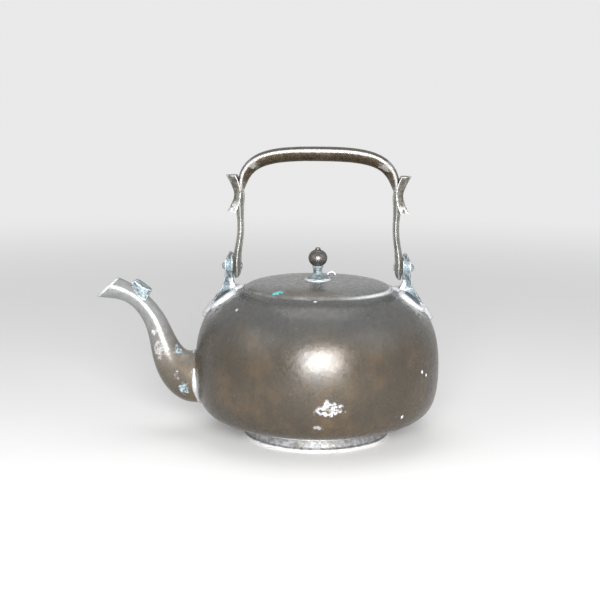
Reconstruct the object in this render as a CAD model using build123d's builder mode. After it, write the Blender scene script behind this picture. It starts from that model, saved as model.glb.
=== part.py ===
"""An old sheet-metal kettle: squat body on a foot ring, lift-off lid with a cast ball knob,
swan-neck spout, and a tall bail handle that swings on two riveted pins.

The frame has +Z up and its origin on the table, under the centre of the foot ring.
The spout points along -X and the bail's pins lie along X.
"""
from build123d import *
import os
from math import cos, radians, sin, tan

os.makedirs("parts", exist_ok=True)

# ---------------------------------------------------------------- driving dimensions, in mm
# Body: one raised vessel of sheet.
belly_radius = 91.6
belly_height = 53.6
shoulder_height = 112.0
shoulder_width = 36.0          # from the mouth out to the belly, level
mouth_radius = belly_radius - shoulder_width
shoulder_slope = 14.2          # degrees below level, where the shoulder meets the mouth
shoulder_rise = 43.0           # how far the belly keeps climbing before it turns in
shoulder_reach = 15.5          # how far the flat of the shoulder carries outwards
bowl_width = 37.6              # from the edge of the flat bottom out to the belly, level
bowl_radius = belly_radius - bowl_width
bowl_height = 10.0
bowl_slope = 16.0              # degrees above level, there
bowl_lift = 3.6                # how far above its edge the bowl turns up into the belly
bowl_reach = 25.0              # how far the slope of the bowl carries outwards
bottom_height = 7.0            # the flat bottom hangs clear of the table
bottom_blend = 9.0
sheet = 1.5

# Foot ring and its seam.
foot_spread = 1.5              # how far the foot stands out past the flat bottom
foot_draw = 3.1                # how much narrower it is at its top
foot_radius = bowl_radius + foot_spread
foot_neck_radius = foot_radius - foot_draw
foot_wall = 1.8
foot_height = 10.0
foot_bead = 1.5
foot_seam = 1.3

# Mouth collar, which carries the lid.
lid_gap = 0.35                 # between the lid's edge and the mouth
seat_gap = 0.3                 # between the lid and its ledge
ledge_width = 4.6
ledge_thick = 1.4
collar_depth = 7.0

# Lid.
lid_sheet = 1.5
lid_dome = 6.0
flange_gap = 0.4
flange_wall = 1.2
flange_depth = 9.0

# Knob: a cast stem with a turned ball, riveted through the lid.
stem_base_radius = 8.7
stem_base_thick = 1.1
stem_height = 10.8
stem_waist_radius = 3.5
stem_collar_radius = 4.5
ball_radius = 7.1
ball_height = 11.6
button_radius = 2.0
button_height = 2.1
tang_radius = 2.0
burr_radius = 4.8
burr_thick = 1.2
knob_seam = 1.1

# Wire staple for a lid chain, behind the knob.
staple_x = 10.0
staple_y = 26.0
staple_radius = 3.0
staple_wire = 0.9

# Spout. Each place on its centre line is a distance out from the belly, a share of the
# spout's rise, and a radius.
root_height = 43.0
spout_rise = 71.2              # from the root up to the lip
spout_stub = (-30.0, 0.0028, 18.8)    # buried in the body, and trimmed away
spout_root = (-10.0, 0.0, 18.0)
spout_heel = (15.5, 0.1124, 15.6)
spout_shin = (24.0, 0.3287, 10.7)
spout_calf = (27.8, 0.486, 9.0)
spout_throat = (34.6, 0.6798, 7.7)
spout_crown = (47.8, 0.8652, 7.0)
spout_flare = (59.2, 0.9354, 8.1)
spout_lip = (73.0, 1.0, 10.7)
spout_wall = 1.4
mouth_cut_back = 7.8           # the slanted mouth's plane crosses the spout this far back
mouth_cut_drop = 2.8           # and this far down from the lip
mouth_cut_angle = 41.5         # degrees that the mouth leans back from level
spout_hole_radius = 14.0
spout_seam = 2.0
seam_thick = 1.0

# The body is raised as a bowl and a shoulder, brazed edge to edge above the spout's root.
joint_rise = 14.0              # from the top of the root up to the joint
joint_height = root_height + spout_root[2] + joint_rise

# Leaf on the spout's crown.
crest_thick = 5.6              # above the spout's surface, at most
crest_half_width = 6.4
crest_toe = (2.8, 3.4)         # out and up from the crown: the side outline, from the lip end
crest_rise = (-0.2, 10.0)
crest_peak = (-4.6, 12.2)
crest_back = (-9.8, 10.8)
crest_tip = (-16.4, 6.6)       # free, and curled off the spout
crest_notch = (-13.6, 2.4)
crest_root = (-10.2, -4.6)
crest_widest = 0.4             # share of the way from the toe to the tip

# Lugs: cast brackets on the shoulders.
pivot_rise = 16.0              # from the shoulder up to the pins
pivot_height = shoulder_height + pivot_rise
pin_radius = 2.0
pin_clearance = 0.05
lug_setback = 8.0              # from the mouth out to the blade
lug_thick = 5.4
lug_inner = mouth_radius + lug_setback
lug_outer = lug_inner + lug_thick
lug_tip_rise = 11.6            # from the pin up to the blade's tip
lug_tip_height = pivot_height + lug_tip_rise
lug_half_width = 6.6
lug_waist_half = 4.0
lug_waist_share = 0.344        # of the way from the shoulder up to the pin
lug_waist_height = shoulder_height + lug_waist_share * pivot_rise
lug_foot_half = 7.5
pad_thick = 2.0
pad_setback = 2.0              # from the mouth out to the pad
pad_inner = mouth_radius + pad_setback
pad_length = 25.8
pad_tip = pad_inner + pad_length
pad_tip_half = 8.6
pad_lobe_out = 11.9            # from the pad's inner end to the middle of its side lobes
pad_lobe_x = pad_inner + pad_lobe_out
pad_lobe_y = 11.8
pad_lobe_radius = 7.4
lug_seam = 1.7

# Pins.
head_radius = 3.1
head_height = 2.8
peen_radius = 2.8
peen_thick = 0.5
swing_gap = 0.3                # on each side of the bail's leg

# Bail: grip.
neck_rise = 56.0               # from the pins up to the necks
neck_height = pivot_height + neck_rise
neck_inset = 5.6               # from the blade in to the neck
neck_x = lug_inner - neck_inset
grip_rise = 31.4               # from the necks up to the top of the grip
grip_top = neck_height + grip_rise
grip_flat = 31.0               # handles of the curve from the top to each neck
grip_swell = 1.5
grip_sink = 0.9
grip_half_width = 10.0
grip_crown = 1.8
grip_belly = 8.9
neck_half_width = 4.8
neck_crown = 2.4
neck_belly = 2.6
grip_fullness = 5              # how late the grip thins towards its necks

# Bail: legs. Each station is a share of the way up from the pin to the neck, how far the
# middle stands out from the neck, a width along X and a depth along Y.
leg_shank = (0.768, 0.3, 5.8, 8.6)
leg_waist = (0.518, -0.3, 4.9, 7.2)
leg_knee = (0.286, 1.0, 5.3, 8.8)
leg_drop = 9.4                 # from the pin down to the leg's point
leg_end = pivot_height - leg_drop
leg_ear_half = 5.6
leg_ear_thick = 6.0
leg_side = 0.45                # flat share of a leg's depth

# Leaf collars at the bail's necks.
collar_sheet = 1.7
collar_top = neck_height + 12.0
collar_bottom = neck_height - 15.2
collar_waist_height = neck_height - 1.5
collar_flare_front = neck_x + 2.7    # X of the flares' free edges
collar_flare_out = neck_x + 10.4
collar_waist_front = neck_x - 0.8
collar_waist_out = neck_x + 5.6
collar_top_half = 9.0
collar_bottom_half = 8.0
collar_waist_half = 6.6

HANDLE_SHRINK = 0.55           # how a curve's handles shorten as it moves inwards
LID_LEVEL = 0.6                # shares of the lid's radius: where it stays level,
LID_TURN = 0.92                # and where it turns down
reach = 300.0                  # longer than any piece, for cutting solids


# ---------------------------------------------------------------- body
def vessel(inset):
    """The solid inside the body's surface, moved inwards by inset (outwards if negative).

    Each curve of the profile is turned by itself, from the +Y side, so the surface is three
    bands and their seams lie where nothing joins them.
    """
    slope, dip = radians(shoulder_slope), radians(bowl_slope)
    shrink = HANDLE_SHRINK * inset
    belly = (belly_radius - inset, belly_height)
    mouth = (mouth_radius - inset * sin(slope), shoulder_height - inset * cos(slope))
    bowl = (bowl_radius - inset * sin(dip), bowl_height + inset * cos(dip))
    flat = bottom_height + inset
    corner = (bowl[0] - (bowl[1] - flat) / tan(dip), flat)
    middle = (corner[0] - bottom_blend, flat)
    shoulder = (
        mouth,
        (mouth[0] + (shoulder_reach - shrink) * cos(slope),
         mouth[1] - (shoulder_reach - shrink) * sin(slope)),
        (belly[0], belly[1] + shoulder_rise - shrink),
        belly,
    )
    underside = (
        belly,
        (belly[0], bowl_height + bowl_lift + shrink),
        (bowl[0] + (bowl_reach - shrink) * cos(dip),
         bowl[1] + (bowl_reach - shrink) * sin(dip)),
        bowl,
    )
    with BuildPart() as solid:
        for curve in (shoulder, underside, (bowl, corner, middle)):
            start, end = curve[0], curve[-1]
            with BuildSketch(Plane.YZ):
                with BuildLine():
                    Bezier(*curve)
                    Polyline(end, (0, end[1]), (0, start[1]), start)
                make_face()
            revolve(axis=Axis.Z)
    return solid.part


body_outside = vessel(0)
body_inside = vessel(sheet)

with BuildPart() as whole_shell:
    add(body_outside)
    add(body_inside, mode=Mode.SUBTRACT)
    with BuildSketch(Plane.XY.offset(shoulder_height - lid_dome)):
        Circle(mouth_radius)
    extrude(amount=2 * lid_dome, mode=Mode.SUBTRACT)
    with BuildSketch(Plane((-belly_radius, 0, root_height), z_dir=(-1, 0, 0))):
        Circle(spout_hole_radius)
    extrude(amount=belly_radius / 2, both=True, mode=Mode.SUBTRACT)

with BuildPart() as body_shell:
    add(whole_shell.part)
    split(bisect_by=Plane.XY.offset(joint_height), keep=Keep.BOTTOM)

with BuildPart() as shoulder_shell:
    add(whole_shell.part)
    split(bisect_by=Plane.XY.offset(joint_height), keep=Keep.TOP)

ledge_height = shoulder_height - lid_sheet - seat_gap
collar_bore = mouth_radius - ledge_width

with BuildPart() as mouth_collar:
    with BuildSketch(Plane.XZ):
        with BuildLine():
            Polyline(
                (collar_bore, ledge_height),
                (mouth_radius + ledge_width, ledge_height),
                (mouth_radius + ledge_width, ledge_height - ledge_thick),
                (collar_bore + ledge_thick, ledge_height - ledge_thick),
                (collar_bore + ledge_thick, ledge_height - collar_depth),
                (collar_bore, ledge_height - collar_depth),
                close=True,
            )
        make_face()
    revolve(axis=Axis.Z)
    add(body_inside, mode=Mode.INTERSECT)

# ---------------------------------------------------------------- foot ring
with BuildPart() as foot_ring:
    with BuildSketch(Plane.XZ):
        with BuildLine():
            ThreePointArc(
                (foot_radius - foot_bead / 2, foot_bead),
                ((foot_radius + foot_neck_radius) / 2 - foot_bead / 2, foot_height / 2),
                (foot_neck_radius, foot_height + foot_wall),
            )
            Polyline(
                (foot_neck_radius, foot_height + foot_wall),
                (foot_neck_radius - foot_wall, foot_height + foot_wall),
                (foot_radius - foot_bead - foot_wall, 0),
                (foot_radius - foot_bead / 2, 0),
                (foot_radius - foot_bead / 2, foot_bead),
            )
        make_face()
        with Locations((foot_radius - foot_bead, foot_bead * 0.8)):
            Circle(foot_bead)
        with Locations((foot_radius, -foot_bead)):
            Rectangle(6 * foot_bead, 2 * foot_bead, mode=Mode.SUBTRACT)
    revolve(axis=Axis.Z)
    add(body_outside, mode=Mode.SUBTRACT)

with BuildPart() as foot_seam_ring:
    with BuildSketch(Plane.XZ):
        with Locations((foot_neck_radius + foot_seam / 4, foot_height + foot_seam / 4)):
            Circle(foot_seam)
    revolve(axis=Axis.Z)
    add(body_outside, mode=Mode.SUBTRACT)
    add(foot_ring.part, mode=Mode.SUBTRACT)
    with BuildSketch(Plane.XY):
        Circle(foot_neck_radius - foot_wall / 2)
    extrude(amount=shoulder_height, mode=Mode.SUBTRACT)

# ---------------------------------------------------------------- spout
spout_stations = [
    (-belly_radius - out, root_height + share * spout_rise, radius)
    for out, share, radius in (
        spout_stub, spout_root, spout_heel, spout_shin, spout_calf,
        spout_throat, spout_crown, spout_flare, spout_lip,
    )
]
with BuildLine(Plane.XZ):
    spout_axis = Spline([(x, z) for x, z, _ in spout_stations])
lip_x, lip_z, _ = spout_stations[-1]


def spout_solid(extra):
    """The spout's outer form, fattened by extra (thinned if negative), before it is trimmed."""
    with BuildPart() as solid:
        for x, z, radius in spout_stations:
            place = spout_axis.param_at_point(Vector(x, 0, z))
            station = Plane(spout_axis @ place, x_dir=(0, 1, 0), z_dir=spout_axis % place)
            with BuildSketch(station):
                Circle(radius + extra)
        loft()
        mouth_plane = Plane(
            (lip_x + mouth_cut_back, 0, lip_z - mouth_cut_drop),
            x_dir=(0, 1, 0),
            z_dir=(-sin(radians(mouth_cut_angle)), 0, cos(radians(mouth_cut_angle))),
        )
        split(bisect_by=mouth_plane, keep=Keep.BOTTOM)
    return solid.part


spout_outside = spout_solid(0)
spout_bore = spout_solid(-spout_wall)

with BuildPart() as spout_tube:
    add(spout_outside)
    add(spout_bore, mode=Mode.SUBTRACT)
    add(body_outside, mode=Mode.SUBTRACT)

seam_skin = vessel(-seam_thick)
with BuildPart() as spout_seam_ring:
    add(spout_solid(spout_seam))
    add(seam_skin, mode=Mode.INTERSECT)
    add(body_outside, mode=Mode.SUBTRACT)
    add(spout_outside, mode=Mode.SUBTRACT)


def by_crown(place):
    """A place given as out and up from the spout's crown, in the XZ plane."""
    return (
        -belly_radius - spout_crown[0] - place[0],
        root_height + spout_crown[1] * spout_rise + place[1],
    )


toe_x, tip_x = by_crown(crest_toe)[0], by_crown(crest_tip)[0]
with BuildPart() as spout_crest:
    with BuildSketch(Plane.XZ):
        with BuildLine():
            Spline([
                by_crown(place)
                for place in (crest_toe, crest_rise, crest_peak, crest_back, crest_tip)
            ])
            Spline([by_crown(place) for place in (crest_tip, crest_notch, crest_root)])
            Line(by_crown(crest_root), by_crown(crest_toe))
        make_face()
    extrude(amount=crest_half_width, both=True)
    with BuildSketch(Plane.XY.offset(by_crown(crest_root)[1] - crest_half_width)):
        with BuildLine():
            ThreePointArc(
                (toe_x, 0),
                (toe_x + (tip_x - toe_x) * crest_widest, crest_half_width),
                (tip_x, 0),
            )
            mirror(about=Plane.XZ)
        make_face()
    extrude(amount=reach, mode=Mode.INTERSECT)
    add(spout_solid(crest_thick), mode=Mode.INTERSECT)
    add(spout_outside, mode=Mode.SUBTRACT)

# ---------------------------------------------------------------- lid
lid_radius = mouth_radius - lid_gap
lid_crown = shoulder_height + lid_dome


def lid_solid(top, thick):
    """A low cushion whose edge stands at the mouth and whose crown stands at top."""
    edge = shoulder_height
    level, turn = LID_LEVEL * lid_radius, LID_TURN * lid_radius
    with BuildPart() as solid:
        with BuildSketch(Plane.XZ):
            with BuildLine():
                Bezier((0, top), (level, top), (turn, top), (lid_radius, edge))
                Line((lid_radius, edge), (lid_radius, edge - thick))
                Bezier(
                    (lid_radius, edge - thick), (turn, top - thick), (level, top - thick),
                    (0, top - thick),
                )
                Line((0, top - thick), (0, top))
            make_face()
        revolve(axis=Axis.Z)
    return solid.part


lid_disc = lid_solid(lid_crown, lid_sheet)
with BuildPart() as lid_plate:
    add(lid_disc)
    with BuildSketch(Plane.XY.offset(shoulder_height)):
        Circle(tang_radius)
    extrude(amount=2 * lid_dome, mode=Mode.SUBTRACT)

flange_radius = collar_bore - flange_gap
with BuildPart() as lid_flange:
    with BuildSketch(Plane.XY.offset(shoulder_height - reach / 2)):
        Circle(flange_radius)
        Circle(flange_radius - flange_wall, mode=Mode.SUBTRACT)
    extrude(amount=reach)
    add(lid_solid(lid_crown, flange_depth), mode=Mode.INTERSECT)
    add(lid_disc, mode=Mode.SUBTRACT)

# ---------------------------------------------------------------- knob
stem_top = lid_crown + stem_height
waist_height = lid_crown + 0.72 * stem_height
with BuildPart() as knob_stem:
    with BuildSketch(Plane.XZ):
        with BuildLine():
            Polyline(
                (0, stem_top),
                (stem_collar_radius * 0.8, stem_top),
                (stem_collar_radius, stem_top - stem_base_thick / 2),
                (stem_collar_radius * 0.85, stem_top - stem_base_thick),
                (stem_waist_radius, stem_top - 1.5 * stem_base_thick),
            )
            Spline(
                (stem_waist_radius, stem_top - 1.5 * stem_base_thick),
                (stem_waist_radius * 0.95, waist_height),
                (stem_base_radius - stem_base_thick, lid_crown + 1.6 * stem_base_thick),
                tangents=[(0, -1), (1, -0.25)],
            )
            Polyline(
                (stem_base_radius - stem_base_thick, lid_crown + 1.6 * stem_base_thick),
                (stem_base_radius, lid_crown + stem_base_thick),
                (stem_base_radius, lid_crown - lid_sheet),
                (0, lid_crown - lid_sheet),
                (0, stem_top),
            )
        make_face()
    revolve(axis=Axis.Z)
    add(lid_disc, mode=Mode.SUBTRACT)
    with BuildSketch(Plane.XY.offset(lid_crown + stem_base_thick)):
        Circle(tang_radius)
    extrude(amount=-(stem_base_thick + lid_sheet + burr_thick + tang_radius / 4))

ball_middle = stem_top + ball_height / 2
with BuildPart() as knob_ball:
    with BuildSketch(Plane.XZ):
        with Locations((0, ball_middle)):
            Ellipse(ball_radius, ball_height / 2 + ball_height / 16)
        with Locations((0, stem_top - ball_height / 2)):
            Rectangle(4 * ball_radius, ball_height, mode=Mode.SUBTRACT)
        with Locations((0, stem_top + ball_height + button_height / 2 - button_radius / 4)):
            RectangleRounded(2 * button_radius, button_height + button_radius / 2, button_radius / 2)
        with Locations((-reach / 2, stem_top)):
            Rectangle(reach, reach, mode=Mode.SUBTRACT)
    revolve(axis=Axis.Z)

with BuildPart() as knob_seam_ring:
    with BuildSketch(Plane.XZ):
        with Locations((stem_base_radius, lid_crown)):
            Circle(knob_seam)
    revolve(axis=Axis.Z)
    add(lid_disc, mode=Mode.SUBTRACT)
    add(knob_stem.part, mode=Mode.SUBTRACT)
    add(lid_solid(lid_crown - lid_sheet, 2 * lid_sheet), mode=Mode.SUBTRACT)

with BuildPart() as knob_burr:
    with BuildSketch(Plane.XY.offset(lid_crown - lid_sheet - burr_thick)):
        Circle(burr_radius)
        Circle(tang_radius, mode=Mode.SUBTRACT)
    extrude(amount=burr_thick + lid_sheet / 2)
    add(lid_disc, mode=Mode.SUBTRACT)

with BuildPart() as chain_staple:
    staple_base = (staple_x, staple_y, lid_crown - lid_sheet / 2)
    with BuildLine(Plane(staple_base, x_dir=(1, 0, 0), z_dir=(0, -1, 0))) as staple_path:
        Line((-staple_radius, -lid_dome / 3), (-staple_radius, 0))
        ThreePointArc((-staple_radius, 0), (0, staple_radius), (staple_radius, 0))
        Line((staple_radius, 0), (staple_radius, -lid_dome / 3))
    with BuildSketch(Plane(staple_path.line @ 0, z_dir=(0, 0, 1))):
        Circle(staple_wire)
    sweep(path=staple_path.line)
    add(lid_solid(lid_crown, lid_dome), mode=Mode.SUBTRACT)

# ---------------------------------------------------------------- lugs and their seams
def trefoil(extra):
    """A lug's three-lobed foot in plan, widened by extra all round, as a sketch."""
    with BuildSketch() as plan:
        with Locations((pad_lobe_x, pad_lobe_y), (pad_lobe_x, -pad_lobe_y)):
            Circle(pad_lobe_radius + extra)
        with BuildLine():
            ThreePointArc(
                (pad_inner - extra, 0),
                ((pad_inner + pad_tip) / 2, pad_tip_half + extra),
                (pad_tip + extra, 0),
            )
            mirror(about=Plane.XZ)
        make_face()
    return plan.sketch


pad_skin = vessel(-pad_thick)
with BuildPart() as pad:
    with BuildSketch(Plane.XY.offset(belly_height)):
        add(trefoil(0))
    extrude(amount=shoulder_height)
    add(pad_skin, mode=Mode.INTERSECT)

with BuildPart() as lug_right:
    with BuildSketch(Plane.XZ):
        with BuildLine():
            Polyline(
                (pad_inner + pad_thick, belly_height),
                (pad_inner + pad_thick, shoulder_height - pad_thick),
                (lug_inner, lug_waist_height),
                (lug_inner, lug_tip_height - pad_thick),
                (lug_inner + pad_thick, lug_tip_height),
                (lug_outer, pivot_height + 1.4 * head_radius),
                (lug_outer, pivot_height - 1.4 * head_radius),
            )
            Spline(
                (lug_outer, pivot_height - 1.4 * head_radius),
                (lug_outer + pad_thick / 2, lug_waist_height),
                (pad_lobe_x + pad_lobe_radius, shoulder_height - lug_foot_half),
                tangents=[(0, -1), (1, -1)],
            )
            Polyline(
                (pad_lobe_x + pad_lobe_radius, shoulder_height - lug_foot_half),
                (pad_lobe_x + pad_lobe_radius, belly_height),
                (pad_inner + pad_thick, belly_height),
            )
        make_face()
    extrude(amount=2 * lug_foot_half, both=True)
    with BuildSketch(Plane.YZ.offset(pad_inner)):
        with BuildLine():
            Spline(
                (0, lug_tip_height),
                (lug_half_width, pivot_height),
                (lug_waist_half, lug_waist_height),
                (lug_foot_half, shoulder_height - lug_foot_half),
                tangents=[(1, -0.6), (1, -1.4)],
            )
            Polyline(
                (lug_foot_half, shoulder_height - lug_foot_half),
                (lug_foot_half, belly_height),
                (0, belly_height),
            )
            mirror(about=Plane.YZ)
        make_face()
    extrude(amount=reach, mode=Mode.INTERSECT)
    add(pad.part)
    add(body_outside, mode=Mode.SUBTRACT)
    with BuildSketch(Plane.YZ):
        with Locations((0, pivot_height)):
            Circle(pin_radius)
    extrude(amount=reach, mode=Mode.SUBTRACT)

with BuildPart() as lug_seam_right:
    with BuildSketch(Plane.XY.offset(belly_height)):
        add(trefoil(lug_seam))
    extrude(amount=shoulder_height)
    add(seam_skin, mode=Mode.INTERSECT)
    add(body_outside, mode=Mode.SUBTRACT)
    add(pad.part, mode=Mode.SUBTRACT)
    add(lug_right.part, mode=Mode.SUBTRACT)

# ---------------------------------------------------------------- pins
leg_outer = lug_inner - swing_gap
leg_inner = leg_outer - leg_ear_thick
peen_outer = leg_inner - swing_gap

with BuildPart() as pin_right:
    with BuildSketch(Plane.XZ):
        with BuildLine():
            Polyline(
                (peen_outer - peen_thick, pivot_height),
                (peen_outer - peen_thick, pivot_height + peen_radius / 2),
                (peen_outer - peen_thick / 2, pivot_height + peen_radius),
                (peen_outer, pivot_height + peen_radius),
                (peen_outer, pivot_height + pin_radius),
                (lug_outer, pivot_height + pin_radius),
                (lug_outer, pivot_height + head_radius),
            )
            TangentArc(
                (lug_outer + head_height, pivot_height),
                (lug_outer, pivot_height + head_radius),
                tangent=(0, 1),
            )
            Line((lug_outer + head_height, pivot_height), (peen_outer - peen_thick, pivot_height))
        make_face()
    revolve(axis=Axis((0, 0, pivot_height), (1, 0, 0)))

# ---------------------------------------------------------------- bail: grip
with BuildLine(Plane.XZ):
    grip_axis = Bezier(
        (0, grip_top),
        (grip_flat, grip_top),
        (neck_x + grip_swell, grip_top - grip_sink),
        (neck_x, neck_height),
    )

grip_steps = 6                 # sections from the middle of the grip to each neck


def taper(middle, end, along):
    """A size that runs from middle to end as along goes from 0 to 1."""
    return end + (middle - end) * (1 - along ** grip_fullness)


with BuildPart() as bail_grip:
    for step in range(-grip_steps, grip_steps + 1):
        along = abs(step) / grip_steps
        side = -1 if step < 0 else 1
        place, heading = grip_axis @ along, grip_axis % along
        half = taper(grip_half_width, neck_half_width, along)
        crown = taper(grip_crown, neck_crown, along)
        belly = taper(grip_belly, neck_belly, along)
        section = Plane(
            (side * place.X, 0, place.Z),
            x_dir=(0, 1, 0),
            z_dir=(heading.X, 0, side * heading.Z),
        )
        with BuildSketch(section):
            with BuildLine():
                ThreePointArc((-half, 0), (0, crown), (half, 0))
                ThreePointArc((half, 0), (0, -belly), (-half, 0))
            make_face()
    loft()

# ---------------------------------------------------------------- bail: legs
neck_thick = neck_crown + neck_belly
ear_middle = (leg_inner + leg_outer) / 2
leg_stations = [
    (neck_height, neck_x + (neck_crown - neck_belly) / 2, neck_thick, 2 * neck_half_width)
]
for share, out, width, depth in (leg_shank, leg_waist, leg_knee):
    leg_stations.append((pivot_height + share * neck_rise, neck_x + out, width, depth))
leg_stations += [
    (pivot_height + leg_ear_half, ear_middle, leg_ear_thick, 2 * leg_ear_half),
    (pivot_height - leg_ear_half / 2, ear_middle, leg_ear_thick, 2 * leg_ear_half),
    (leg_end, ear_middle + leg_ear_thick / 6, leg_ear_thick / 5, leg_ear_half / 3),
]

with BuildPart() as leg_right:
    for height, middle, width, depth in leg_stations:
        flat = leg_side * depth / 2
        with BuildSketch(Plane.XY.offset(height)):
            with Locations((middle, 0)):
                Polygon(
                    (width / 2, flat), (0, depth / 2), (-width / 2, flat),
                    (-width / 2, -flat), (0, -depth / 2), (width / 2, -flat),
                    align=None,
                )
    loft()
    with BuildSketch(Plane.YZ):
        with Locations((0, pivot_height)):
            Circle(pin_radius + pin_clearance)
    extrude(amount=reach, mode=Mode.SUBTRACT)

# ---------------------------------------------------------------- leaf collars
collar_stations = (
    (collar_top, collar_flare_front, collar_flare_out, collar_top_half),
    (collar_waist_height, collar_waist_front, collar_waist_out, collar_waist_half),
    (collar_bottom, collar_flare_front, collar_flare_out - 1, collar_bottom_half),
)
with BuildPart() as leaf_collar_right:
    for height, front, out, half in collar_stations:
        with BuildSketch(Plane.XY.offset(height)):
            with BuildLine():
                ThreePointArc((front, -half), (out, 0), (front, half))
                Line((front, half), (front, half - collar_sheet))
                ThreePointArc(
                    (front, half - collar_sheet),
                    (out - collar_sheet, 0),
                    (front, -half + collar_sheet),
                )
                Line((front, -half + collar_sheet), (front, -half))
            make_face()
    loft()
    add(leg_right.part, mode=Mode.SUBTRACT)
    add(bail_grip.part, mode=Mode.SUBTRACT)

# ---------------------------------------------------------------- the other side
left = {}
for name, piece in {
    "lug": lug_right, "lug_seam": lug_seam_right, "pin": pin_right,
    "leg": leg_right, "leaf_collar": leaf_collar_right,
}.items():
    left[name] = mirror(piece.part, about=Plane.YZ)

# ---------------------------------------------------------------- export
pieces = {
    "body_shell": body_shell.part,
    "shoulder_shell": shoulder_shell.part,
    "mouth_collar": mouth_collar.part,
    "foot_ring": foot_ring.part,
    "foot_seam": foot_seam_ring.part,
    "spout_tube": spout_tube.part,
    "spout_seam": spout_seam_ring.part,
    "spout_crest_leaf": spout_crest.part,
    "lug_right": lug_right.part,
    "lug_left": left["lug"],
    "lug_seam_right": lug_seam_right.part,
    "lug_seam_left": left["lug_seam"],
    "pivot_pin_right": pin_right.part,
    "pivot_pin_left": left["pin"],
    "lid_plate": lid_plate.part,
    "lid_flange": lid_flange.part,
    "knob_stem": knob_stem.part,
    "knob_ball": knob_ball.part,
    "knob_seam": knob_seam_ring.part,
    "knob_burr": knob_burr.part,
    "chain_staple": chain_staple.part,
    "bail_grip": bail_grip.part,
    "bail_leg_right": leg_right.part,
    "bail_leg_left": left["leg"],
    "leaf_collar_right": leaf_collar_right.part,
    "leaf_collar_left": left["leaf_collar"],
}
for name, piece in pieces.items():
    piece.label = name
    export_step(piece, f"parts/{name}.step")
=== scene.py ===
"""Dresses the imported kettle: dented sheet, cast and filed fittings, solder runs and old patina.

Every piece is in metres, in the frame of the solids: +Z up, the spout along -X, the front at -Y.
"""
import math

import bmesh
import bpy
import numpy as np
from bpy.props import FloatProperty, FloatVectorProperty, IntProperty, PointerProperty
from mathutils import Matrix, Vector


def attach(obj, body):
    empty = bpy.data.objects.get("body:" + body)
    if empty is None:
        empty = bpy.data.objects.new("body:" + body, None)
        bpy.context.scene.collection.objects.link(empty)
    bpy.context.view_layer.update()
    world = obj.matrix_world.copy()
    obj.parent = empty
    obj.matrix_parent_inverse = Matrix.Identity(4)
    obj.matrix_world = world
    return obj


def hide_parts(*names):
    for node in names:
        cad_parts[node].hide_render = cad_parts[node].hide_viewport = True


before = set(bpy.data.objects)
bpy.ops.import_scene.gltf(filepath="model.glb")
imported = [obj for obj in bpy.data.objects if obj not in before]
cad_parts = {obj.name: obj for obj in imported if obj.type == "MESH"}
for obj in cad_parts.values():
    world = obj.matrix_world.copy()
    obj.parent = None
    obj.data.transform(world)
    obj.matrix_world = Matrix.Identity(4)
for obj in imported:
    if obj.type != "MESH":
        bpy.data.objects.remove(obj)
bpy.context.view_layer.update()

bl_info = {
    "name": "Old Kettle Dressing",
    "version": (1, 0, 0),
    "blender": (4, 5, 0),
    "location": "3D View > Sidebar > Kettle",
    "description": "Dresses a packed kettle with dented sheet, worn castings, solder and patina",
    "category": "Object",
}

MM = 0.001

# ------------ sizes of the solids, in mm
BELLY_RADIUS, BELLY_HEIGHT = 91.6, 53.6
MOUTH_RADIUS, SHOULDER_HEIGHT = 55.6, 112.0
SHOULDER_SLOPE, SHOULDER_RISE, SHOULDER_REACH = 14.2, 43.0, 15.5
BOWL_RADIUS, BOWL_HEIGHT, BOWL_SLOPE = 54.0, 10.0, 16.0
BOWL_DROP, BOWL_REACH, BOTTOM_HEIGHT, BOTTOM_BLEND = 40.0, 25.0, 7.0, 9.0
SHEET, HANDLE_SHRINK = 1.5, 0.55
LID_RADIUS, LID_DOME, LID_LEVEL, LID_TURN = 55.25, 6.0, 0.6, 0.92
LID_CROWN = SHOULDER_HEIGHT + LID_DOME
SPOUT_HOLE, SPOUT_ROOT_HEIGHT, SPOUT_ROOT_RADIUS = 14.0, 43.0, 18.0
PAD_INNER, PAD_TIP, PAD_TIP_HALF = 57.6, 83.4, 8.6
PAD_LOBE_X, PAD_LOBE_Y, PAD_LOBE_RADIUS = 69.5, 11.8, 7.4

# ------------ sizes of the dressing, in mm, degrees and shares
# solder and rolled edges: where they run, and the radius of the bead
FOOT_SEAM_RADIUS, FOOT_SEAM_HEIGHT, FOOT_SEAM_BEAD = 54.2, 9.6, 0.9
KNOB_SEAM_RADIUS, KNOB_SEAM_BEAD = 8.9, 0.95
SPOUT_SEAM_BEAD, SPOUT_SEAM_OUT, SPOUT_SEAM_PROUD = 2.1, 0.3, 1.4
LIP_LEAN, LIP_OUT, LIP_HEIGHT = 41.5, 65.2, 111.4
LIP_STEPS, LIP_REACH, LIP_INSET, LIP_FLAT = 48, 0.12, 0.75, 0.02
PAD_RAYS, PAD_REACHES = 120, np.linspace(4, 24, 161)
PAD_SEAM_OUT, PAD_SEAM_PROUD = 0.6, 0.5
# the lobes of the knob's foot
LOBES, LOBE_TURN, LOBE_SWELL, LOBE_TRIM = 5, 0.6, 0.10, 0.02
LOBE_RADIUS, LOBE_TOP, LOBE_FADE = 8, 7.0, 6.0
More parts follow.
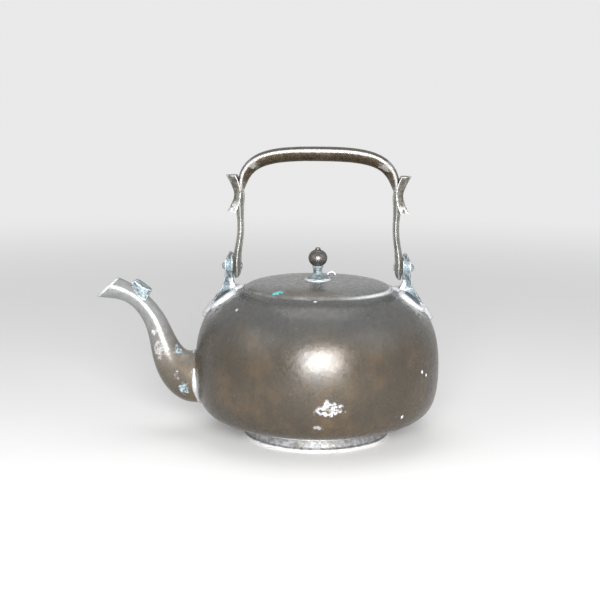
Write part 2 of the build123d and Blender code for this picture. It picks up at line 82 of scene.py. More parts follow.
# the lid's crease, the lugs' grooves, the legs' grooves, and the collars' waists and flutes
CREASE_FROM, CREASE_TO = np.array((-24.5, -35.5)), np.array((-16.6, -50.5))
CREASE_DEPTH, CREASE_WIDTH = 0.7, 0.9
BLADE_GROOVE, BLADE_PITCH, BLADE_FAN, BLADE_THINNED = 0.35, 4.2, 0.02, 0.1
LEG_GROOVE, LEG_GROOVE_WIDTH, LEG_GROOVE_OFF = 0.55, 0.55, 0.5
LEG_STEP, FACING_FROM, FACING_GAIN = 2.0, 0.6, 2.5
WAIST_DEPTH, WAIST_SPAN, WAIST_PINCH, WAIST_DROP = 1.3, 6.5, 0.12, 1.0
OUTER_FROM, OUTER_SPAN = 2.0, 4.0
FLUTE_DEPTH, FLUTE_PITCH = 0.35, 4.0
# the rounding of the mouth's rim
RIM_IN, RIM_DROP = 0.1, 0.7
# rows of points in the profiles: the flat bottom, and each curve of a measuring profile, of the
# vessel's outside, of its inside and of the lid
BOTTOM_ROWS, MEASURE_ROWS, OUTER_ROWS, INNER_ROWS, LID_ROWS = 8, 60, 74, 30, 96

# ------------ the stage, in metres and watts
BACKDROP_LEVEL, ROOM_LEVEL = 0.82, 0.38
FLOOR_RADIUS, FLOOR_FADE, FLOOR_TONE, FLOOR_ROUGH = 6.0, (0.25, 1.6), (0.78, 0.78, 0.78), 0.9
LAMPS = (  # name, place, aim, size, power
    ("front_softbox", (0.10, -1.15, 0.33), (0.0, 0.0, 0.075), (0.66, 0.46), 30.0),
    ("left_softbox", (-1.2, -0.7, 0.7), (0.0, 0.0, 0.08), (0.9, 0.9), 3.0),
    ("right_softbox", (1.2, -0.6, 0.8), (0.0, 0.0, 0.08), (0.9, 0.9), 2.6),
    ("top_softbox", (0.0, 0.25, 1.3), (0.0, 0.0, 0.1), (0.9, 0.9), 4.0),
)
CAMERA_PLACE, CAMERA_TURN = (0.01958, -0.93693, 0.26781), (79.99976, -0.39392, 2.06947)
CAMERA_LENS, CAMERA_SENSOR = 76.02, 36


# ------------ what a user may change
def length(name, description, default):
    """A size that a user may change, given in mm."""
    return FloatProperty(name=name, description=description, default=default * MM, unit="LENGTH")


def tint(name, description, default):
    """A colour that a user may change."""
    return FloatVectorProperty(
        name=name, description=description, subtype="COLOR", size=3, default=default)


class KettleSizes(bpy.types.PropertyGroup):
    """Sizes of the dents, beads and pits."""

    sheet_dent: length("Sheet dent", "Depth of the dents in the raised sheet", 0.7)
    sheet_dent_width: length("Sheet dent width", "Usual width of those dents", 42)
    casting_lump: length("Casting lump", "Height of the lumps on cast and filed pieces", 0.55)
    casting_pit: length("Casting pit", "Depth of the small pits on cast pieces", 0.16)
    solder_bead: length("Solder bead", "Radius of the solder runs round the lugs", 2.6)
    rim_bead: length("Rim bead", "Radius of the rolled edge of the spout", 0.95)
    turning_steps: IntProperty(
        name="Turning steps", description="Segments round a turned piece", default=288)


class KettleColours(bpy.types.PropertyGroup):
    """Colours of the bronze, its patina and the solder."""

    bronze: tint("Bronze", "Brown patina of the vessel", (0.060, 0.045, 0.027))
    amber: tint("Amber", "Warm patches where the patina is thin", (0.118, 0.076, 0.035))
    slate: tint("Slate", "Cool grey patina on upward faces", (0.080, 0.084, 0.086))
    verdigris: tint("Verdigris", "Pale blue-green bloom on the castings", (0.26, 0.36, 0.40))
    solder: tint("Solder", "Dull tin solder", (0.72, 0.73, 0.75))
    lime: tint("Lime", "White mineral spots", (0.60, 0.61, 0.64))


# ------------ helpers
def add_node(tree, kind, inputs=None, **settings):
    """Adds a node; inputs maps a socket's name or number to a value or to another socket."""
    made = tree.nodes.new(kind)
    for key, value in settings.items():
        setattr(made, key, value)
    for key, value in (inputs or {}).items():
        if isinstance(value, bpy.types.NodeSocket):
            tree.links.new(value, made.inputs[key])
        else:
            made.inputs[key].default_value = value
    return made


def calc(tree, operation, a, b=0.0):
    """One sum on numbers, in a tree."""
    return add_node(tree, "ShaderNodeMath", {0: a, 1: b}, operation=operation).outputs[0]


def vector(tree, operation, a, b=(0, 0, 0), c=(0, 0, 0), scale=1.0, output=0):
    """One sum on vectors, in a tree."""
    return add_node(tree, "ShaderNodeVectorMath", {0: a, 1: b, 2: c, 3: scale},
                    operation=operation).outputs[output]


def show(name, data):
    """An object of the scene that holds a mesh, a curve, a lamp or a camera."""
    made = bpy.data.objects.new(name, data)
    bpy.context.scene.collection.objects.link(made)
    return made


def show_edit(name, edit):
    """An object of the scene that holds an edited mesh."""
    mesh = bpy.data.meshes.new(name)
    edit.to_mesh(mesh)
    edit.free()
    return show(name, mesh)


def settle(name, source):
    """Turns source, with its modifiers, into a plain mesh object called name."""
    bpy.context.view_layer.update()
    graph = bpy.context.evaluated_depsgraph_get()
    mesh = bpy.data.meshes.new_from_object(
        source.evaluated_get(graph), preserve_all_data_layers=True, depsgraph=graph)
    bpy.data.objects.remove(source)
    mesh.name = name
    return show(name, mesh)


def outward(piece):
    """Points a closed mesh's faces outwards."""
    edit = bmesh.new()
    edit.from_mesh(piece.data)
    bmesh.ops.recalc_face_normals(edit, faces=edit.faces)
    if edit.calc_volume(signed=True) < 0:
        bmesh.ops.reverse_faces(edit, faces=edit.faces)
    edit.to_mesh(piece.data)
    edit.free()
    piece.data.shade_smooth()


def solid_copy(name, node):
    """A merged copy of one of the frame's solids."""
    edit = bmesh.new()
    edit.from_mesh(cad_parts[node].data)
    bmesh.ops.remove_doubles(edit, verts=edit.verts, dist=0.001 * MM)
    made = show_edit(name, edit)
    if "custom_normal" in made.data.attributes:
        made.data.attributes.remove(made.data.attributes["custom_normal"])
    made.data.materials.clear()
    return made


def read_corners(piece, key):
    """Three numbers for each of a mesh's corners."""
    flat = np.zeros(len(piece.data.vertices) * 3)
    piece.data.vertices.foreach_get(key, flat)
    return flat.reshape(-1, 3)


def points_of(piece):
    """A mesh's corners as an array, in mm."""
    return read_corners(piece, "co") / MM


def normals_of(piece):
    """A mesh's corner normals as an array."""
    return read_corners(piece, "normal")


def move_points(piece, points):
    """Gives a mesh's corners new places, in mm."""
    piece.data.vertices.foreach_set("co", (points * MM).ravel())
    piece.data.update()


def mark_wear_and_shade(piece, spread=3):
    """Stores where a surface is proud (towards 1) or sunk (towards 0), for finishes to turn into
    worn ridges with a painted highlight and painted shade in the hollows.

    spread is how many times that is averaged over the neighbouring corners.
    """
    mesh = piece.data
    points, normals = points_of(piece), normals_of(piece)
    ends = np.zeros(len(mesh.edges) * 2, int)
    mesh.edges.foreach_get("vertices", ends)
    ends = ends.reshape(-1, 2)
    count = np.maximum(np.bincount(ends.ravel(), minlength=len(points)), 1)

    def around(values):
        total = np.zeros_like(values)
        np.add.at(total, ends[:, 0], values[ends[:, 1]])
        np.add.at(total, ends[:, 1], values[ends[:, 0]])
        return total / (count if values.ndim == 1 else count[:, None])

    proud = ((points - around(points)) * normals).sum(1)
    for _ in range(spread):
        proud = 0.5 * proud + 0.5 * around(proud)
    proud = np.clip(0.5 + proud / (4 * proud.std() + 1e-9), 0, 1)
    wear_and_shade = mesh.attributes.new("wear_and_shade", "FLOAT", "POINT")
    wear_and_shade.data.foreach_set("value", proud.astype(np.float32))


def finish_piece(piece, body, slot, *nodes):
    """Sets a piece on its body, in place of the solids it stands for; slot is not used."""
    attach(piece, body)
    if nodes:
        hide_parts(*nodes)
    return piece


# ------------ geometry node trees
def new_tree(name, inputs):
    """A geometry tree with named inputs, given as (name, kind, default)."""
    tree = bpy.data.node_groups.new(name, "GeometryNodeTree")
    tree.interface.new_socket("Geometry", in_out="INPUT", socket_type="NodeSocketGeometry")
    for label, kind, default in inputs:
        socket = tree.interface.new_socket(label, in_out="INPUT", socket_type=f"NodeSocket{kind}")
        if default is not None:
            socket.default_value = default
    tree.interface.new_socket("Geometry", in_out="OUTPUT", socket_type="NodeSocketGeometry")
    return tree, add_node(tree, "NodeGroupInput").outputs


def end_tree(tree, shape, material):
    """Ends a tree in smooth shading, real geometry and its material."""
    smooth = add_node(tree, "GeometryNodeSetShadeSmooth", {0: shape})
    real = add_node(tree, "GeometryNodeRealizeInstances", {0: smooth.outputs[0]})
    coated = add_node(tree, "GeometryNodeSetMaterial", {0: real.outputs[0], "Material": material})
    add_node(tree, "NodeGroupOutput", {0: coated.outputs[0]})
    return tree


def push(tree, shape, depth, width, seed):
    """Moves a surface in and out along its normals by soft noise."""
    place = add_node(tree, "GeometryNodeInputPosition").outputs[0]
    normal = add_node(tree, "GeometryNodeInputNormal").outputs[0]
    cloud = add_node(tree, "ShaderNodeTexNoise",
                     {"Vector": place, "W": seed, "Scale": calc(tree, "DIVIDE", 1.0, width),
                      "Detail": 2.0}, noise_dimensions="4D")
    height = calc(tree, "MULTIPLY", calc(tree, "SUBTRACT", cloud.outputs[0], 0.5), depth)
    return add_node(tree, "GeometryNodeSetPosition",
                    {0: shape, "Offset": vector(tree, "SCALE", normal, scale=height)}).outputs[0]


WEAR_INPUTS = [
    ("Dent Depth", "Float", 1 * MM), ("Dent Width", "Float", 30 * MM),
    ("Pit Depth", "Float", 0.1 * MM), ("Pit Width", "Float", 2 * MM),
    ("Seed", "Float", 0.0), ("Material", "Material", None),
]


def worn(tree, shape, given):
    """Adds wide dents and small pits to a shape."""
    shape = push(tree, shape, given["Dent Depth"], given["Dent Width"], given["Seed"])
    return push(tree, shape, given["Pit Depth"], given["Pit Width"], given["Seed"])


def turned_sheet_tree():
    """Turns a profile, one ring for each of its points, about the Z axis, and dents it."""
    tree, given = new_tree(
        "turned_sheet", [("Rings", "Int", 10), ("Segments", "Int", 64)] + WEAR_INPUTS)
    grid = add_node(tree, "GeometryNodeMeshGrid",
                    {"Size X": 1.0, "Size Y": 1.0, "Vertices X": given["Rings"],
                     "Vertices Y": given["Segments"]})
    place = add_node(tree, "GeometryNodeInputPosition").outputs[0]
    split = add_node(tree, "ShaderNodeSeparateXYZ", {0: place})
    ring = calc(tree, "MULTIPLY", calc(tree, "ADD", split.outputs["X"], 0.5),
                calc(tree, "SUBTRACT", given["Rings"], 1.0))
    whole = add_node(tree, "FunctionNodeFloatToInt", {0: ring}, rounding_mode="ROUND")
    station = add_node(tree, "GeometryNodeSampleIndex",
                       {"Geometry": given["Geometry"], "Index": whole.outputs[0]},
                       data_type="FLOAT_VECTOR", domain="POINT")
    tree.links.new(place, station.inputs["Value"])
    turned = add_node(tree, "ShaderNodeVectorRotate",
                      {"Vector": station.outputs["Value"],
                       "Angle": calc(tree, "MULTIPLY", split.outputs["Y"], 2 * math.pi)},
                      rotation_type="Z_AXIS")
    wall = add_node(tree, "GeometryNodeSetPosition",
                    {0: grid.outputs[0], "Position": turned.outputs[0]})
    closed = add_node(tree, "GeometryNodeMergeByDistance",
                      {0: wall.outputs[0], "Distance": 0.001 * MM})
    return end_tree(tree, worn(tree, closed.outputs[0], given), given["Material"])


def worn_casting_tree():
    """Dents and pits a mesh."""
    tree, given = new_tree("worn_casting", WEAR_INPUTS)
    return end_tree(tree, worn(tree, given["Geometry"], given), given["Material"])


def bead_run_tree():
    """Runs a round bead of uneven thickness along a path."""
    tree, given = new_tree(
        "bead_run", [("Bead Radius", "Float", 1 * MM), ("Step", "Float", 0.5 * MM),
                     ("Flow", "Float", 0.3)] + WEAR_INPUTS)
    place = add_node(tree, "GeometryNodeInputPosition").outputs[0]
    path = add_node(tree, "GeometryNodeResampleCurve",
                    {"Curve": given["Geometry"], "Length": given["Step"]}, mode="LENGTH")
    cloud = add_node(tree, "ShaderNodeTexNoise",
                     {"Vector": place, "W": given["Seed"],
                      "Scale": calc(tree, "DIVIDE", 0.12, given["Bead Radius"])},
                     noise_dimensions="4D")
    swell = add_node(tree, "ShaderNodeMapRange",
                     {"Value": cloud.outputs[0], "From Min": 0.3, "From Max": 0.7,
                      "To Min": calc(tree, "SUBTRACT", 1.0, given["Flow"]),
                      "To Max": calc(tree, "ADD", 1.0, given["Flow"])})
    radius = calc(tree, "MULTIPLY", swell.outputs[0], given["Bead Radius"])
    ring = add_node(tree, "GeometryNodeCurvePrimitiveCircle", {"Resolution": 14, "Radius": 1.0})
    tube = add_node(tree, "GeometryNodeCurveToMesh",
                    {"Curve": path.outputs[0], "Profile Curve": ring.outputs[0],
                     "Scale": radius, "Fill Caps": True})
    return end_tree(tree, worn(tree, tube.outputs[0], given), given["Material"])


TREES = {}     # geometry trees by name
FINISH = {}    # materials by name


def grow(name, source, tree_name, **inputs):
    """Runs a geometry tree on source and settles the result as a closed, plain mesh."""
    tree = TREES[tree_name]
    modifier = source.modifiers.new(tree_name, "NODES")
    modifier.node_group = tree
    for socket in tree.interface.items_tree:
        key = socket.name.lower().replace(" ", "_")
        if socket.in_out == "INPUT" and key in inputs:
            modifier[socket.identifier] = inputs[key]
    piece = settle(name, source)
    outward(piece)
    return piece


def path_object(name, points, closed=False):
    """A curve object through points given in mm."""
    curve = bpy.data.curves.new(name, "CURVE")
    curve.dimensions = "3D"
    line = curve.splines.new("POLY")
    line.points.add(len(points) - 1)
    line.points.foreach_set(
        "co", [value for x, y, z in points for value in (x * MM, y * MM, z * MM, 1.0)])
    line.use_cyclic_u = closed
    return show(name, curve)


def turn_steps(count, start=0.0):
    """Evenly spaced angles, once round."""
    return np.linspace(start, start + 2 * math.pi, count, endpoint=False)


def turned(name, profile, finish, seed, dent=1.0):
    """A piece turned from a profile of (radius, height) points in mm.

    dent is the share of the user's depth and width of dents.
    """
    sizes = bpy.context.scene.kettle_sizes
    source = path_object(name + "_profile", [(radius, 0, height) for radius, height in profile])
    return grow(name, source, "turned_sheet", rings=len(profile),
                segments=sizes.turning_steps + 1, dent_depth=dent * sizes.sheet_dent,
                dent_width=dent * sizes.sheet_dent_width, pit_depth=0.03 * MM,
                pit_width=3 * MM, seed=seed, material=FINISH[finish])


def casting(name, node, body, slot, finish, seed, voxel=0.4, smooth=3, lump=1.0,
            lump_width=9.0, pit=1.0, carve=None, wear_and_shade_spread=3):
    """A worn copy of a node's solid with its edges rounded, on its body, for that node.

    lump and pit are shares of the user's sizes, and carve gives its corners new places.
    """
    sizes = bpy.context.scene.kettle_sizes
    source = solid_copy(name + "_copy", node)
    remesh = source.modifiers.new("even", "REMESH")
    remesh.mode, remesh.voxel_size, remesh.use_smooth_shade = "VOXEL", voxel * MM, True
    soften = source.modifiers.new("soften", "SMOOTH")
    soften.factor, soften.iterations = 0.5, smooth
    if carve:
        source = settle(name + "_carved", source)
        move_points(source, carve(points_of(source), normals_of(source)))
    piece = grow(name, source, "worn_casting", dent_depth=lump * sizes.casting_lump,
                 dent_width=lump_width * MM, pit_depth=pit * sizes.casting_pit,
                 pit_width=1.3 * MM, seed=seed, material=FINISH[finish])
    mark_wear_and_shade(piece, wear_and_shade_spread)
    return finish_piece(piece, body, slot, node)


def bead(name, points, body, slot, finish, seed, radius, *nodes, flow=0.3, pit=0.25):
    """A run of solder or a rolled edge along points given in mm, on its body, for its nodes."""
    run = grow(name, path_object(name + "_path", points, closed=True), "bead_run",
               bead_radius=radius, step=0.45 * MM, flow=flow, dent_depth=0.5 * MM,
               dent_width=3 * MM, pit_depth=pit * MM, pit_width=1.0 * MM, seed=seed,
               material=FINISH[finish])
    if finish != "solder":
        mark_wear_and_shade(run)
    return finish_piece(run, body, slot, *nodes)


# ------------ profiles
def bezier(points, steps):
    """Points along a cubic or quadratic Bezier."""
    ends = np.array(points, float)
    share = np.linspace(0, 1, steps)[:, None]
    while len(ends) > 1:
        ends = [a + (b - a) * share for a, b in zip(ends[:-1], ends[1:])]
    return [tuple(place) for place in ends[0]]


def vessel_profile(inset, rows):
    """The vessel's profile from the middle of its bottom to its mouth, moved in by inset."""
    slope, dip = math.radians(SHOULDER_SLOPE), math.radians(BOWL_SLOPE)
    shrink = HANDLE_SHRINK * inset
    belly = (BELLY_RADIUS - inset, BELLY_HEIGHT)
    mouth = (MOUTH_RADIUS - inset * math.sin(slope), SHOULDER_HEIGHT - inset * math.cos(slope))
    bowl = (BOWL_RADIUS - inset * math.sin(dip), BOWL_HEIGHT + inset * math.cos(dip))
    flat = BOTTOM_HEIGHT + inset
    corner = (bowl[0] - (bowl[1] - flat) / math.tan(dip), flat)
    middle = (corner[0] - BOTTOM_BLEND, flat)
    floor = [(row * middle[0] / BOTTOM_ROWS, flat) for row in range(BOTTOM_ROWS)]
    blend = bezier([middle, corner, bowl], BOTTOM_ROWS)
    low = bezier([bowl, (bowl[0] + (BOWL_REACH - shrink) * math.cos(dip),
                         bowl[1] + (BOWL_REACH - shrink) * math.sin(dip)),
                  (belly[0], belly[1] - BOWL_DROP + shrink), belly], rows)
    high = bezier([belly, (belly[0], belly[1] + SHOULDER_RISE - shrink),
                   (mouth[0] + (SHOULDER_REACH - shrink) * math.cos(slope),
                    mouth[1] - (SHOULDER_REACH - shrink) * math.sin(slope)), mouth], rows)
    return floor + blend + low[1:] + high[1:]


def shoulder_level(radius):
    """The height of the vessel's shoulder at a radius."""
    radii, heights = np.array(vessel_profile(0, MEASURE_ROWS)[:-MEASURE_ROWS:-1]).T
    return float(np.interp(radius, radii, heights))


# ------------ materials
# what metal reflects at a slant, and how coats that aren't metal shine
EDGE_TONE, DULL_METALLIC, DULL_ROUGH = (0.6, 0.6, 0.6), 0.05, 0.8
# where the edges round the mouth turn bright: worn bright in thin patches, and a painted
# highlight wholly on the right
WORN_AND_GLINT_HEIGHT, PAINTED_GLINT_RIGHT, RUBBED_PATCHES = (108.0, 110.5), (10.0, 50.0), 0.12
# the signs of X and Y at the four places beside the lugs
CORNERS = [(side, front) for side in (-1, 1) for front in (-1, 1)]


class Patina:
    """Builds one procedural finish, layer by layer, on Object coordinates in mm."""

    def __init__(self, name, metallic, rough):
        self.material = bpy.data.materials.new(name)
        self.material.use_nodes = True
        self.tree = self.material.node_tree
        self.tree.nodes.clear()
        coords = self.node("ShaderNodeTexCoord").outputs["Object"]
        self.place = self.vector("SCALE", coords, scale=1 / MM)
        self.metallic, self.rough = metallic, rough
        self.colour = self.dull = self.relief = None

    def node(self, kind, inputs=None, **settings):
        return add_node(self.tree, kind, inputs, **settings)

    def math(self, operation, a, b=0.0):
        return calc(self.tree, operation, a, b)

    def vector(self, operation, *given, **more):
        return vector(self.tree, operation, *given, **more)

    def cloud(self, width, detail=3.0, stretch=(1, 1, 1), shift=0.0, low=0.35, high=0.65):
        """Noise of a given width in mm, spread to 0..1 between low and high."""
        where = self.node("ShaderNodeMapping",
                          {"Vector": self.place, "Scale": stretch,
                           "Location": (shift, 1.7 * shift, -shift)}).outputs[0]
        grain = self.node("ShaderNodeTexNoise",
                          {"Vector": where, "Scale": 1 / width, "Detail": detail})
        return self.spread(grain.outputs[0], low, high)

    def spread(self, value, low, high, to_low=0.0, to_high=1.0):
        return self.node("ShaderNodeMapRange",
                         {"Value": value, "From Min": low, "From Max": high,
                          "To Min": to_low, "To Max": to_high},
                         interpolation_type="SMOOTHSTEP").outputs[0]

    def axis(self, name):
        return self.node("ShaderNodeSeparateXYZ", {0: self.place}).outputs[name]

    def radius(self):
        """The distance from the Z axis."""
        flat = self.vector("MULTIPLY", self.place, (1, 1, 0))
        return self.vector("LENGTH", flat, output="Value")

    # proud-or-sunk attribute: worn ridges with a painted highlight, painted shade in the hollows
    def wear_and_shade(self):
        return self.node("ShaderNodeAttribute", attribute_name="wear_and_shade").outputs["Fac"]

    def coat(self, share, colour, strength=1.0, dull=False):
        """Lays a colour over what is there, by share times strength; dull coats aren't metal."""
        if self.colour is None:
            self.colour = self.node("ShaderNodeRGB").outputs[0]
            self.colour.default_value = (*colour, 1)
            return
        if strength != 1.0:
            share = self.math("MULTIPLY", share, strength)
        self.colour = self.node("ShaderNodeMix", {"Factor": share, 6: self.colour,
                                                  7: (*colour, 1)},
                                data_type="RGBA", clamp_factor=True).outputs[2]
        if dull:
            self.dull = share if self.dull is None else self.math("MAXIMUM", self.dull, share)

    def specks(self, spacing, size, share):
        """Scattered dots of a given size in mm, on a share of the cells that are spacing wide."""
        cells = self.node("ShaderNodeTexVoronoi", {"Vector": self.place, "Scale": 1 / spacing})
        luck = self.node("ShaderNodeSeparateColor", {0: cells.outputs["Color"]}).outputs
        reach = self.math("MULTIPLY", luck[1], size / spacing)
        near = self.math("SUBTRACT", reach, cells.outputs["Distance"])
        dot = self.spread(near, 0.0, 0.3 * size / spacing)
        return self.math("MULTIPLY", dot, self.math("LESS_THAN", luck[0], share))

    def dab(self, centre, width, colour, dull=True, ragged=0.6, firmness=0.25,
            stretch=(1, 1, 1), strength=1.0, lace=None):
        """Paints a ragged spot round a place given in mm, with holes lace wide if given.

        firmness is how much of the spot is its soft edge, and stretch above 1 narrows it.
        """
        wobble = self.node("ShaderNodeTexNoise",
                           {"Vector": self.place, "Scale": 2.2 / width, "Detail": 4.0})
        centred = self.vector("SUBTRACT", wobble.outputs[1], (0.5,) * 3)
        moved = self.vector("MULTIPLY_ADD", centred, (2 * ragged * width,) * 3, self.place)
        off = self.vector("MULTIPLY", self.vector("SUBTRACT", moved, centre), stretch)
        gap = self.vector("LENGTH", off, output="Value")
        share = self.spread(gap, width / 2 * (1 + firmness), width / 2 * (1 - firmness))
        if lace:
            share = self.math("MULTIPLY", share, self.cloud(lace, 4, low=0.40, high=0.56))
        self.coat(share, colour, strength, dull)

    def emboss(self, value, amount):
        """Adds a height in mm to the bump."""
        rise = self.math("MULTIPLY", value, amount)
        self.relief = rise if self.relief is None else self.math("ADD", self.relief, rise)

    def done(self, rough_share, specular=0.5):
        """Joins the layers on the surface shader."""
        low, high = self.rough
        rough = self.spread(rough_share, 0.0, 1.0, low, high)
        shader = self.node("ShaderNodeBsdfPrincipled", {"Base Color": self.colour})
        shader.inputs["Specular IOR Level"].default_value = specular
        shader.inputs["Specular Tint"].default_value = (*EDGE_TONE, 1)
        if self.dull is None:
            shader.inputs["Metallic"].default_value = self.metallic
            self.tree.links.new(rough, shader.inputs["Roughness"])
        else:
            shine = self.spread(self.dull, 0.0, 1.0, self.metallic, DULL_METALLIC)
            self.tree.links.new(shine, shader.inputs["Metallic"])
            matt = self.node("ShaderNodeMix", {"Factor": self.dull, 2: rough, 3: DULL_ROUGH},
                             data_type="FLOAT").outputs[0]
            self.tree.links.new(matt, shader.inputs["Roughness"])
        if self.relief is not None:
            bump = self.node("ShaderNodeBump", {"Height": self.relief, "Distance": MM,
                                                "Strength": 1.0})
            self.tree.links.new(bump.outputs[0], shader.inputs["Normal"])
        output = self.node("ShaderNodeOutputMaterial")
        self.tree.links.new(shader.outputs[0], output.inputs[0])
        return self.material


def shade(colour, factor):
    """A colour made lighter or darker."""
    return tuple(min(1.0, part * factor) for part in colour)


def sheet_finish(key, colours, cool_from, cool_to, spots=(), streaks=0.25, tone=1.0, pale=1.0,
                 edge=None):
    """Raised sheet: brown patina, cooler upwards, with streaks, mottling, specks and spots; pale
    lightens the cool tone into a painted sheen on the lid and a painted highlight up the spout.

    cool_from and cool_to are the heights where the cool tone starts and is full. edge is the pair
    of radii between which an edge of the mouth turns bright: worn bright in thin patches, and
    wholly on the right as a painted highlight.
    """
    finish = Patina(key + "_bronze", 0.15, (0.23, 0.34))
    broad = finish.cloud(30, shift=3, low=0.40, high=0.66)
    patch = finish.cloud(9, detail=4, shift=31, low=0.42, high=0.62)
    mottle = finish.cloud(3.4, detail=5, shift=11)
    fine = finish.cloud(0.9, detail=3, shift=5)
    run = finish.cloud(3.2, detail=4, stretch=(1, 1, 0.12), shift=7, low=0.45, high=0.7)
    height = finish.axis("Z")
    finish.coat(1, shade(colours.bronze, tone))
    finish.coat(broad, shade(colours.amber, tone), 0.85)
    finish.coat(patch, shade(colours.bronze, 0.75 * tone), 0.45)
    # cool grey patina upwards; where pale is above 1 (lid, spout) it is also a painted sheen
    rise = finish.spread(height, cool_from, cool_to)
    finish.coat(rise, shade(colours.slate, tone * pale), 0.85)
    finish.coat(run, shade(colours.bronze, 0.5 * tone), streaks)
    finish.coat(mottle, shade(colours.bronze, 0.6 * tone), 0.30)
    finish.coat(fine, shade(colours.slate, 1.2 * tone), 0.22)
    finish.coat(finish.specks(3.6, 0.55, 0.5), shade(colours.lime, 0.35), 0.55)
    finish.coat(finish.specks(5.2, 0.9, 0.4), shade(colours.bronze, 0.35), 0.7)
    if edge:
        # the mouth's edge band: worn bright in thin patches, and a painted highlight on the right
        worn_and_glint_band = finish.spread(finish.radius(), *edge)
        worn_and_glint_band = finish.math("MULTIPLY", worn_and_glint_band, finish.spread(height, *WORN_AND_GLINT_HEIGHT))
        thin = finish.cloud(7, detail=3, shift=41, low=0.42, high=0.6)
        # painted highlight: the edge is fully bright on the right side
        right = finish.spread(finish.axis("X"), *PAINTED_GLINT_RIGHT)
        share = finish.math("MAXIMUM", finish.math("MULTIPLY", thin, RUBBED_PATCHES), right)
        finish.coat(worn_and_glint_band, shade(colours.solder, 0.75), share)
    for each in spots:
        finish.dab(**each)
    finish.emboss(fine, 0.012)
    finish.emboss(mottle, 0.03)
    rough = finish.math("ADD", finish.math("MULTIPLY", mottle, 0.6),
                        finish.math("MULTIPLY", fine, 0.4))
    FINISH[key] = finish.done(rough, specular=1.0)


def cast_finish(key, deep, face, worn_ridge_highlight, bloom=None, bloom_share=0.5, rough=(0.30, 0.55),
                metallic=0.6, tinned=None, spots=(), hollow_shade=0.95, rub_and_highlight=0.9):
    """Cast and filed bronze: painted shade in the hollows, ridges worn bare with a painted
    highlight and, where given, a pale bloom.

    tinned is (colour, height that is fully tinned, height above which it is bare). hollow_shade
    is how strongly the hollows are darkened as painted shade, and rub_and_highlight how strongly
    the ridges turn bright, worn bare and with a painted highlight.
    """
    finish = Patina(key + "_bronze", metallic, rough)
    broad = finish.cloud(9, shift=2)
    mottle = finish.cloud(2.6, detail=5, shift=8)
    fine = finish.cloud(0.7, detail=2, shift=4)
    wear_and_shade = finish.wear_and_shade()
    finish.coat(1, face)
    finish.coat(broad, deep, 0.5)
    if bloom:
        finish.coat(mottle, bloom, bloom_share, dull=True)
    if tinned:
        colour, low, high = tinned
        film = finish.spread(finish.axis("Z"), high, low)
        film = finish.math("MULTIPLY", film, finish.cloud(3.5, 4, shift=13, low=0.38, high=0.52))
        finish.coat(film, colour, dull=True)
    # painted shade: the hollows are darkened
    finish.coat(finish.spread(wear_and_shade, 0.42, 0.15, 0.0, hollow_shade), shade(deep, 0.6))
    # ridges: worn bare, with a painted highlight
    finish.coat(finish.spread(wear_and_shade, 0.58, 0.9, 0.0, rub_and_highlight), worn_ridge_highlight)
    for each in spots:
        finish.dab(**each)
    finish.coat(fine, shade(deep, 0.9), 0.25)
    finish.emboss(fine, 0.05)
    finish.emboss(mottle, 0.05)
    FINISH[key] = finish.done(mottle)


def solder_finish(colours):
    """Dull tin, mottled darker and flecked with slate."""
    finish = Patina("solder", 0.55, (0.28, 0.55))
    mottle = finish.cloud(1.8, detail=5, shift=1)
    fine = finish.cloud(0.6, detail=2, shift=9)
    finish.coat(1, colours.solder)
    finish.coat(mottle, shade(colours.solder, 0.5), 0.45)
    finish.coat(fine, shade(colours.slate, 1.2), 0.25)
    finish.emboss(fine, 0.06)
    finish.emboss(mottle, 0.1)
    FINISH["solder"] = finish.done(mottle)


def spot(centre, width, colour, **more):
    """What Patina.dab needs for one spot."""
    return dict(centre=centre, width=width, colour=colour, **more)


def vessel_spots(bronze, white, tin):
    """Lime and bare metal on the vessel, and the tin smeared round the lugs' feet."""
    spots = [
        spot((12.0, -90.0, 42.6), 12.0, shade(white, 0.8), stretch=(0.68, 1, 1.2), lace=2.2,
             ragged=0.5),
        spot((12.0, -90.0, 42.0), 9.0, shade(bronze, 1.5), stretch=(0.8, 1, 1.3), lace=2.6,
             ragged=0.7, dull=False, strength=0.8),
        spot((3.0, -88.1, 28.2), 4.6, shade(white, 0.6), strength=0.6, stretch=(0.8, 1, 1.6)),
        spot((4.0, -91.6, 66.0), 2.6, shade(bronze, 0.6), dull=False),
        spot((-0.2, -57.7, 111.4), 2.2, white),
        spot((76.3, -50.3, 60.2), 2.4, white),
        spot((79.6, -45.2, 56.9), 2.0, white),
        spot((62.1, -63.7, 30.4), 2.2, white),
        spot((-56.5, -47.4, 103.0), 2.4, shade(white, 0.7)),
    ]
    for side, front in CORNERS:
        spots += [
            spot((side * 74.0, front * 19.0, 104.6), 20.0, shade(tin, 0.7), ragged=0.45,
                 firmness=0.8, strength=0.8, lace=3.0, stretch=(1, 1, 0.8)),
            spot((side * 64.0, front * 17.5, 108.5), 13.0, shade(tin, 0.75), ragged=0.5,
                 firmness=0.8, strength=0.8, lace=2.2, stretch=(1, 1, 0.6)),
        ]
    return spots


